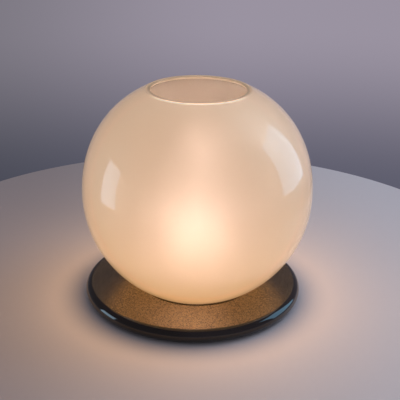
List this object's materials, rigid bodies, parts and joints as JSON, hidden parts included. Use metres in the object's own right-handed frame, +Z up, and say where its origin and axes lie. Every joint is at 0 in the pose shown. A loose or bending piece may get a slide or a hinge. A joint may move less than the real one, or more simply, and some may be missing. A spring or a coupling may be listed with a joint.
{
  "type": "glass globe table lamp",
  "caption": "Low table lamp: an opal glass globe with an open mouth stands on a heavy round disc, lit by a bulb in a screw holder inside.",
  "frame": {"origin": "on the table, straight below the middle of the glass globe", "axes": "+Z up, +Y to the rear, where the cable comes in, and +X to the right as seen from the front"},
  "size_m": [0.25, 0.25, 0.2369],
  "materials": {
    "disc_metal": "satin bronze-brown finish with a fine grain on the flat top, and a polished near-black rim",
    "opal_glass": "opal glass with a polished outside, ground flat at both cut rims",
    "clear_silicone": "thin dark silicone ring",
    "foot_rubber": "matt soft foot ring",
    "cover_steel": "plain zinc-plated sheet",
    "screw_steel": "zinc-plated screws",
    "collar_metal": "pale satin lacquer",
    "stem_steel": "plated steel thread",
    "bush_plastic": "black soft bush",
    "block_plastic": "off-white moulding",
    "brass": "bare brass",
    "live_sheath": "brown insulation",
    "neutral_sheath": "blue insulation",
    "earth_sheath": "green insulation",
    "holder_plastic": "white heat-proof moulding",
    "porcelain": "unglazed porcelain",
    "sleeve_metal": "nickel-plated sleeve",
    "bulb_cap_metal": "bare cap",
    "bulb_black_glass": "black insulating glass",
    "bulb_glass": "frosted, lit from inside",
    "clear_stem_glass": "clear glass",
    "filament": "glowing rods",
    "driver_board": "small circuit board"
  },
  "bodies": {
    "base": {"base_disc": "disc_metal", "foot_ring": "foot_rubber", "base_cover": "cover_steel", "cover_screws": "screw_steel", "cable_bush": "bush_plastic", "terminal_block": "block_plastic", "terminal_screws": "brass", "block_screw": "screw_steel", "live_lead": "live_sheath", "neutral_lead": "neutral_sheath", "earth_lead": "earth_sheath", "earth_tag": "brass", "earth_screw": "screw_steel", "hollow_stem": "stem_steel", "stem_nut": "stem_steel", "lock_washer": "stem_steel", "globe_collar": "collar_metal", "collar_screws": "screw_steel", "holder_cap": "holder_plastic", "holder_core": "porcelain", "holder_skirt": "holder_plastic", "thread_sleeve": "sleeve_metal", "centre_contact": "brass", "side_contact": "brass"},
    "globe": {"glass_globe": "opal_glass", "seat_ring": "clear_silicone"},
    "bulb_contact": {"bulb_tip": "brass"},
    "bulb": {"bulb_insulator": "bulb_black_glass", "bulb_cap": "bulb_cap_metal", "bulb_envelope": "bulb_glass", "bulb_stem": "clear_stem_glass", "led_filaments": "filament", "bulb_driver": "driver_board"}
  },
  "joints": [
    {"name": "globe_lift", "type": "slide", "parent": "base", "child": "globe", "axis": [0, 0, 1], "range_m": [0, 0.12]},
    {"name": "bulb_rise", "type": "slide", "parent": "base", "child": "bulb_contact", "axis": [0, 0, 1], "range_m": [0, 0.0128]},
    {"name": "bulb_turn", "type": "hinge", "parent": "bulb_contact", "child": "bulb", "pos_m": [-0.004, 0, 0.0811], "axis": [0, 0, 1], "range_deg": [0, 1260]}
  ],
  "couplings": [
    {"joint": "bulb_rise", "follows": "bulb_turn", "m_per_rad": 0.00057757}
  ]
}
